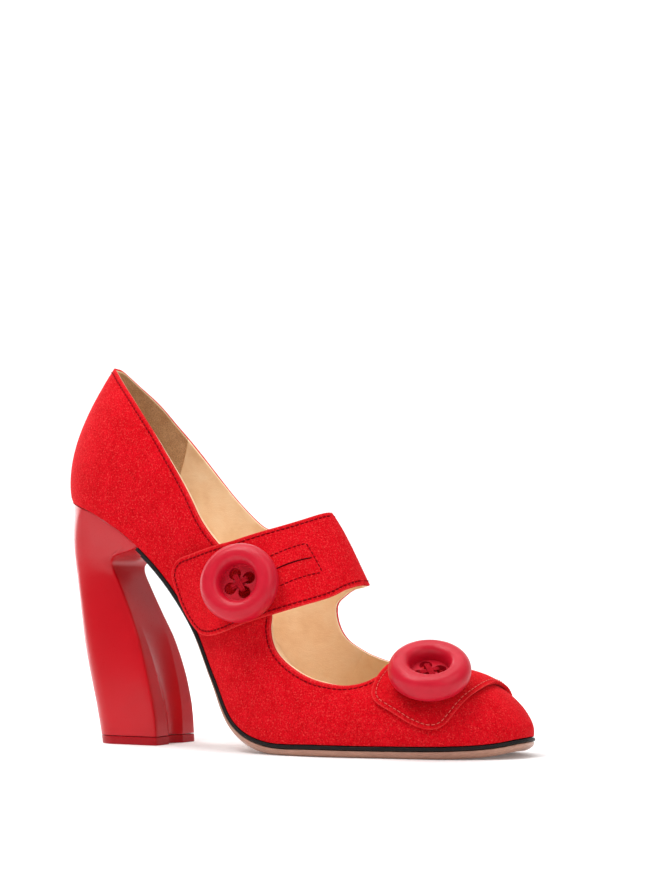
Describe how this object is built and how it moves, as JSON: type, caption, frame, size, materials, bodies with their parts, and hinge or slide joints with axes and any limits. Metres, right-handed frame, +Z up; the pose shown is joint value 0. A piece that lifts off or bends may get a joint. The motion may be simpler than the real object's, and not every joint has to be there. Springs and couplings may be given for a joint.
{
  "type": "high heel pump",
  "caption": "Red suede high heel pump for the right foot, with a buttoned strap over an open instep, a buttoned toe strap and a curved, grooved lacquered block heel.",
  "frame": {"origin": "under the middle of the bounding box, on the ground that the shoe stands on", "axes": "+X towards the toe, +Y towards the inner side of the foot, +Z up"},
  "size_m": [0.2146, 0.0858, 0.1631],
  "materials": {
    "suede": "fine-napped red suede, matt",
    "lacquer": "high-gloss red lacquer over moulded plastic",
    "tread": "satin red polyurethane",
    "button_plastic": "satin red moulded plastic",
    "thread": "twisted red thread",
    "kid": "smooth nude lining leather",
    "grip": "tan suede, nap side out",
    "canvas": "woven cotton interlining",
    "fibreboard": "pressed fibreboard",
    "foam": "latex foam and cork filler",
    "steel": "tempered steel",
    "sole_leather": "polished nude sole leather",
    "black_edge": "black edge paint",
    "gold": "polished gold-coloured plate, plain"
  },
  "bodies": {
    "shoe": {"suede_upper": "suede", "interlining": "canvas", "heel_counter": "fibreboard", "toe_puff": "fibreboard", "vamp_lining": "kid", "outer_quarter_lining": "kid", "inner_quarter_lining": "kid", "heel_grip": "grip", "insole_board": "fibreboard", "steel_shank": "steel", "shank_rivet_rear": "steel", "shank_rivet_front": "steel", "bottom_filler": "foam", "footbed_foam": "foam", "sock_lining": "kid", "sole_rand": "black_edge", "outsole": "sole_leather", "sole_plate": "gold", "heel_block": "lacquer", "heel_top_piece": "tread", "top_piece_pin_rear": "steel", "top_piece_pin_front": "steel", "heel_screw": "steel", "heel_nail_rear_outer": "steel", "heel_nail_rear_inner": "steel", "heel_nail_front_outer": "steel", "heel_nail_front_inner": "steel", "snap_stud": "steel", "vamp_strap": "suede"},
    "instep_strap": {"instep_strap": "suede", "instep_strap_lining": "kid", "snap_socket": "steel"},
    "strap_button": {"strap_button": "button_plastic", "strap_button_thread": "thread"},
    "vamp_button": {"vamp_button": "button_plastic", "vamp_button_thread": "thread"}
  },
  "joints": [
    {"name": "strap_opening", "type": "hinge", "parent": "shoe", "child": "instep_strap", "pos_m": [0.02883, 0.00406, 0.0823], "axis": [-0.4796, 0, 0.8775], "range_deg": [0, 100], "stiffness_Nm_per_rad": 0.004},
    {"name": "strap_button_turn", "type": "hinge", "parent": "instep_strap", "child": "strap_button", "pos_m": [-0.00227, -0.0293, 0.06634], "axis": [0.2372, -0.9508, 0.1991], "range_deg": [-20, 20], "stiffness_Nm_per_rad": 0.002},
    {"name": "vamp_button_turn", "type": "hinge", "parent": "shoe", "child": "vamp_button", "pos_m": [0.07452, -0.01791, 0.02941], "axis": [0.2297, -0.5121, 0.8277], "range_deg": [-20, 20], "stiffness_Nm_per_rad": 0.002}
  ]
}
